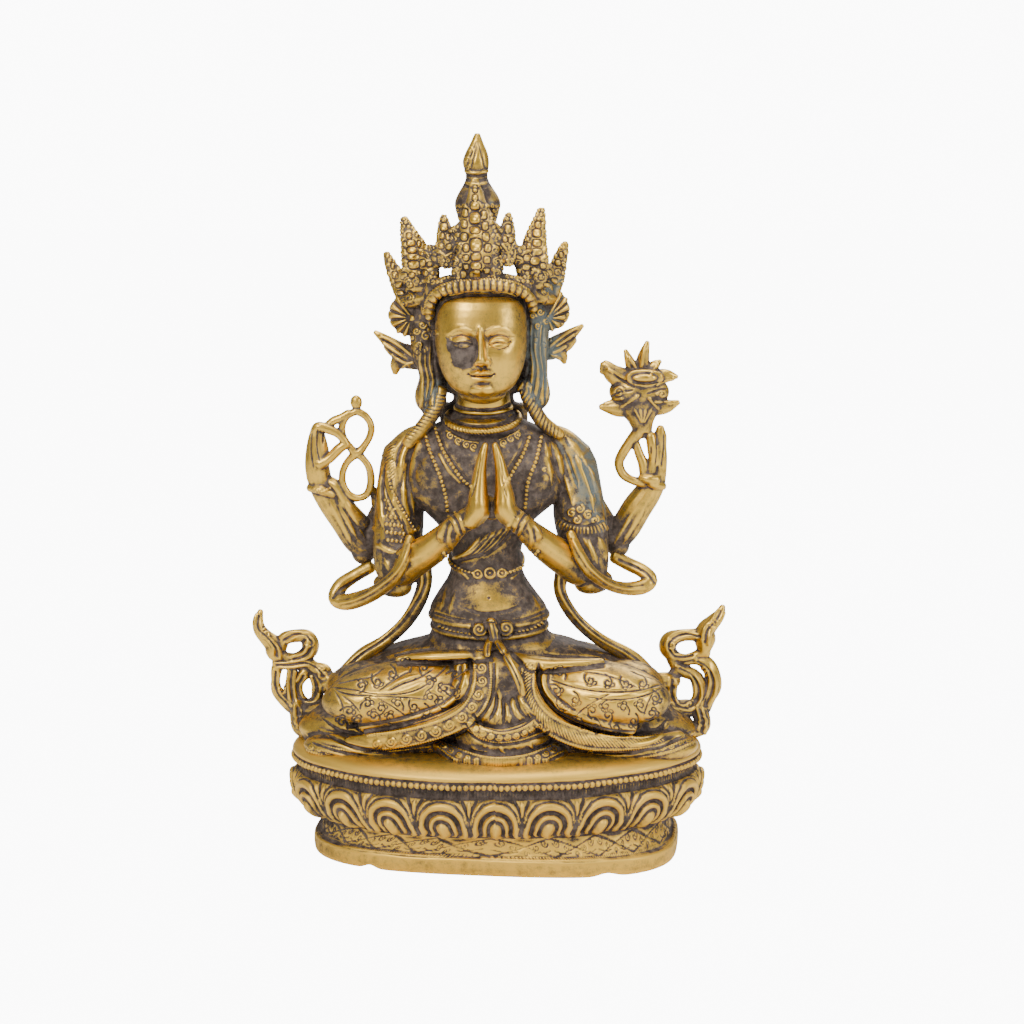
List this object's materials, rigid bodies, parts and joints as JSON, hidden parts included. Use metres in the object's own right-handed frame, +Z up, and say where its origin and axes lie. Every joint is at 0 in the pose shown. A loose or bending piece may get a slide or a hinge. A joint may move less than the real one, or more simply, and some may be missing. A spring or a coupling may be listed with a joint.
{
  "type": "avalokiteshvara statue",
  "caption": "Cast brass seated four-armed bodhisattva statue with joined front hands, rosary, lotus and tall crown, on an oval lotus-petal plinth.",
  "frame": {"origin": "centre of the plinth's flat underside", "axes": "+Z up through the figure, -Y towards the viewer in front of the figure, +X to that viewer's right"},
  "size_m": [0.2204, 0.117, 0.3296],
  "materials": {
    "figure": "aged cast brass, rubbed bright on the raised parts, dark brown to grey patina in the hollows, blue-green on one shoulder and the hair",
    "lotus_plinth": "aged cast brass, rubbed bright on the top and the foot, dark brown patina between the petals"
  },
  "bodies": {
    "root": {"figure": "figure", "lotus_plinth": "lotus_plinth"}
  },
  "joints": []
}
